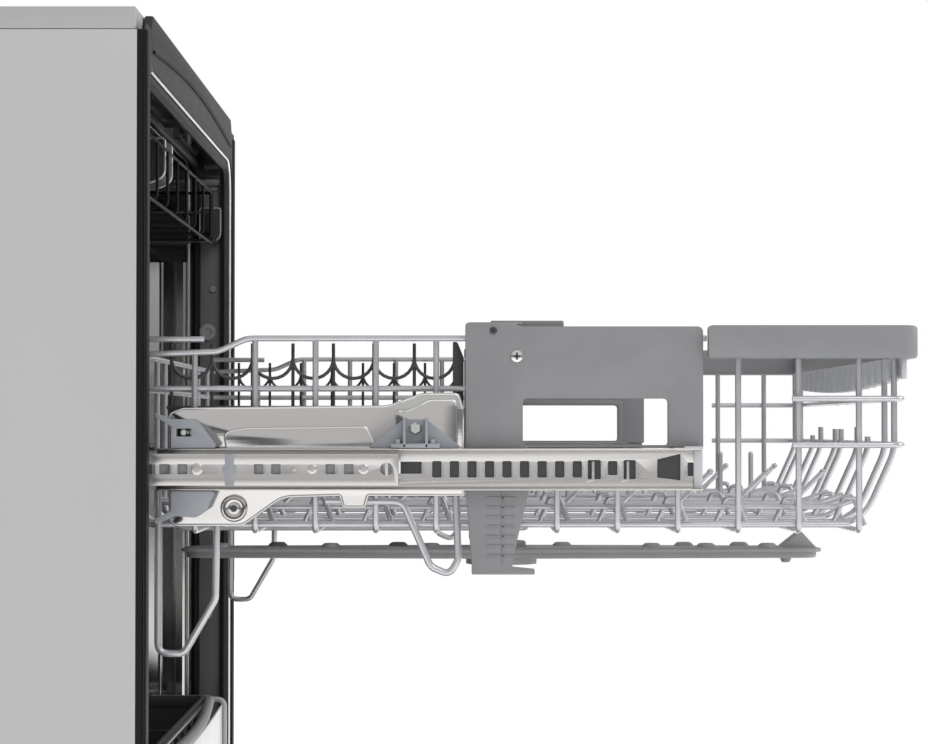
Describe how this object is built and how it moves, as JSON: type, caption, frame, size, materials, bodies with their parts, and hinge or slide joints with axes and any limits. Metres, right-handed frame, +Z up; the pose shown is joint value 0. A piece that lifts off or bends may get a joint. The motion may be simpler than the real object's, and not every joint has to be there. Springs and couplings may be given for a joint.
{
  "type": "built in dishwasher",
  "caption": "Front-loading dishwasher for building in under a worktop, with a drop-down door, sliding wire racks, spray arms and telescopic rack rails.",
  "frame": {"origin": "on the floor, in the middle of the footprint of the whole machine with its door open", "axes": "+X to the right as seen from the front, +Y towards the back, along the door's opening direction reversed, +Z up"},
  "size_m": [0.598, 1.305, 0.86],
  "materials": {
    "sheet_steel": "satin grey coating on steel sheet",
    "stainless": "bright brushed stainless steel",
    "rail_steel": "smooth bright steel",
    "grey_plastic": "fine satin moulding",
    "light_grey_plastic": "satin moulding",
    "dark_plastic": "satin moulding",
    "coated_wire": "smooth polyamide coating on steel wire",
    "rubber": "matt black rubber",
    "arm_plastic": "satin moulding"
  },
  "bodies": {
    "cabinet": {"foot_front_left": "dark_plastic", "foot_front_right": "dark_plastic", "foot_rear": "dark_plastic", "base_pan": "dark_plastic", "side_panel_left": "sheet_steel", "side_panel_right": "sheet_steel", "top_panel": "sheet_steel", "rear_panel": "sheet_steel", "front_frame": "dark_plastic", "hinge_bracket_left": "sheet_steel", "hinge_bracket_right": "sheet_steel", "tub": "stainless", "door_gasket": "rubber", "latch_strike": "stainless", "sump": "dark_plastic", "circulation_pump": "dark_plastic", "drain_pump": "dark_plastic", "feed_pipe": "arm_plastic", "fixed_rail_left": "rail_steel", "fixed_rail_right": "rail_steel", "third_rail_left": "rail_steel", "third_rail_right": "rail_steel"},
    "door": {"door_outer_panel": "stainless", "door_inner_panel": "stainless", "control_panel": "dark_plastic", "door_handle": "stainless", "dispenser_housing": "grey_plastic"},
    "power_button": {"power_button": "light_grey_plastic"},
    "program_button": {"program_button": "light_grey_plastic"},
    "option_button": {"option_button": "light_grey_plastic"},
    "start_button": {"start_button": "light_grey_plastic"},
    "dispenser_lid": {"dispenser_lid": "dark_plastic"},
    "rinse_aid_cap": {"rinse_aid_cap": "dark_plastic"},
    "middle_rails": {"middle_rail_left": "rail_steel", "middle_rail_right": "rail_steel"},
    "rail_carriage": {"rack_rail_left": "rail_steel", "rack_rail_right": "rail_steel", "side_plate_left": "stainless", "side_plate_right": "stainless"},
    "upper_rack": {"upper_rack": "coated_wire", "rack_front_trim": "grey_plastic", "height_adjuster_left": "grey_plastic", "height_adjuster_right": "grey_plastic", "rack_feed_duct": "arm_plastic"},
    "adjuster_lever_left": {"adjuster_lever_left": "grey_plastic"},
    "adjuster_lever_right": {"adjuster_lever_right": "grey_plastic"},
    "middle_spray_arm": {"middle_spray_arm": "arm_plastic"},
    "cup_shelf_left": {"cup_shelf_left": "dark_plastic"},
    "cup_shelf_right": {"cup_shelf_right": "dark_plastic"},
    "folding_tines": {"folding_tines": "coated_wire"},
    "lower_rack": {"lower_rack": "coated_wire"},
    "cutlery_basket": {"cutlery_basket": "dark_plastic"},
    "rack_wheel_front_left": {"rack_wheel_front_left": "dark_plastic"},
    "rack_wheel_front_right": {"rack_wheel_front_right": "dark_plastic"},
    "rack_wheel_rear_left": {"rack_wheel_rear_left": "dark_plastic"},
    "rack_wheel_rear_right": {"rack_wheel_rear_right": "dark_plastic"},
    "lower_spray_arm": {"lower_spray_arm": "arm_plastic"},
    "filter_cup": {"filter_cup": "grey_plastic"},
    "third_rack": {"third_rack": "coated_wire"},
    "top_spray_arm": {"top_spray_arm": "arm_plastic"}
  },
  "joints": [
    {"name": "door_hinge", "type": "hinge", "parent": "cabinet", "child": "door", "pos_m": [0, 0.0625, 0.135], "axis": [-1, 0, 0], "range_deg": [0, 90]},
    {"name": "middle_rails_slide", "type": "slide", "parent": "cabinet", "child": "middle_rails", "axis": [0, 1, 0], "range_m": [0, 0.2575]},
    {"name": "rack_slide", "type": "slide", "parent": "cabinet", "child": "rail_carriage", "axis": [0, 1, 0], "range_m": [0, 0.515]},
    {"name": "rack_height", "type": "slide", "parent": "rail_carriage", "child": "upper_rack", "axis": [0, 0, 1], "range_m": [0, 0.045]},
    {"name": "adjuster_lever_left_press", "type": "hinge", "parent": "upper_rack", "child": "adjuster_lever_left", "pos_m": [-0.2455, -0.146, 0.6435], "axis": [0, 1, 0], "range_deg": [0, 6], "stiffness_Nm_per_rad": 0.4, "springref_deg": -2.86},
    {"name": "adjuster_lever_right_press", "type": "hinge", "parent": "upper_rack", "child": "adjuster_lever_right", "pos_m": [0.2455, -0.146, 0.6435], "axis": [0, -1, 0], "range_deg": [0, 6], "stiffness_Nm_per_rad": 0.4, "springref_deg": -2.86},
    {"name": "middle_arm_spin", "type": "hinge", "parent": "upper_rack", "child": "middle_spray_arm", "pos_m": [0, -0.1335, 0.505], "axis": [0, 0, 1], "continuous": true},
    {"name": "cup_shelf_left_fold", "type": "hinge", "parent": "upper_rack", "child": "cup_shelf_left", "pos_m": [-0.2417, -0.0105, 0.611], "axis": [0, 1, 0], "range_deg": [0, 85]},
    {"name": "cup_shelf_right_fold", "type": "hinge", "parent": "upper_rack", "child": "cup_shelf_right", "pos_m": [0.2417, -0.0105, 0.611], "axis": [0, -1, 0], "range_deg": [0, 85]},
    {"name": "tines_fold", "type": "hinge", "parent": "upper_rack", "child": "folding_tines", "pos_m": [0, -0.1375, 0.5383], "axis": [0, 1, 0], "range_deg": [0, 85]},
    {"name": "lower_rack_slide", "type": "slide", "parent": "cabinet", "child": "lower_rack", "axis": [0, 1, 0], "range_m": [-0.48, 0]},
    {"name": "cutlery_basket_lift", "type": "slide", "parent": "lower_rack", "child": "cutlery_basket", "axis": [0, 0, 1], "range_m": [0, 0.09]},
    {"name": "lower_arm_spin", "type": "hinge", "parent": "cabinet", "child": "lower_spray_arm", "pos_m": [0, 0.3775, 0.195], "axis": [0, 0, 1], "continuous": true},
    {"name": "filter_turn", "type": "hinge", "parent": "cabinet", "child": "filter_cup", "pos_m": [0, 0.2425, 0.161], "axis": [0, 0, 1], "range_deg": [0, 45]},
    {"name": "third_rack_slide", "type": "slide", "parent": "cabinet", "child": "third_rack", "axis": [0, 1, 0], "range_m": [-0.4, 0]},
    {"name": "top_arm_spin", "type": "hinge", "parent": "cabinet", "child": "top_spray_arm", "pos_m": [0, 0.3775, 0.8097], "axis": [0, 0, 1], "continuous": true},
    {"name": "dispenser_lid_slide", "type": "slide", "parent": "door", "child": "dispenser_lid", "axis": [0, 1, 0], "range_m": [0, 0.05]},
    {"name": "rinse_cap_turn", "type": "hinge", "parent": "door", "child": "rinse_aid_cap", "pos_m": [0.04, -0.3425, 0.1746], "axis": [0, 0, 1], "range_deg": [0, 90]},
    {"name": "power_button_press", "type": "slide", "parent": "door", "child": "power_button", "axis": [0, 1, 0], "range_m": [0, 0.0015], "stiffness_N_per_m": 300, "springref_m": -0.002},
    {"name": "program_button_press", "type": "slide", "parent": "door", "child": "program_button", "axis": [0, 1, 0], "range_m": [0, 0.0015], "stiffness_N_per_m": 300, "springref_m": -0.002},
    {"name": "option_button_press", "type": "slide", "parent": "door", "child": "option_button", "axis": [0, 1, 0], "range_m": [0, 0.0015], "stiffness_N_per_m": 300, "springref_m": -0.002},
    {"name": "start_button_press", "type": "slide", "parent": "door", "child": "start_button", "axis": [0, 1, 0], "range_m": [0, 0.0015], "stiffness_N_per_m": 300, "springref_m": -0.002},
    {"name": "rack_wheel_front_left_roll", "type": "hinge", "parent": "lower_rack", "child": "rack_wheel_front_left", "pos_m": [-0.252, 0.1795, 0.1798], "axis": [1, 0, 0], "continuous": true},
    {"name": "rack_wheel_front_right_roll", "type": "hinge", "parent": "lower_rack", "child": "rack_wheel_front_right", "pos_m": [0.252, 0.1795, 0.1798], "axis": [1, 0, 0], "continuous": true},
    {"name": "rack_wheel_rear_left_roll", "type": "hinge", "parent": "lower_rack", "child": "rack_wheel_rear_left", "pos_m": [-0.252, 0.5295, 0.1798], "axis": [1, 0, 0], "continuous": true},
    {"name": "rack_wheel_rear_right_roll", "type": "hinge", "parent": "lower_rack", "child": "rack_wheel_rear_right", "pos_m": [0.252, 0.5295, 0.1798], "axis": [1, 0, 0], "continuous": true}
  ],
  "couplings": [
    {"joint": "rack_slide", "follows": "door_hinge", "m_per_rad": 0.3278},
    {"joint": "middle_rails_slide", "follows": "door_hinge", "m_per_rad": 0.1639}
  ]
}
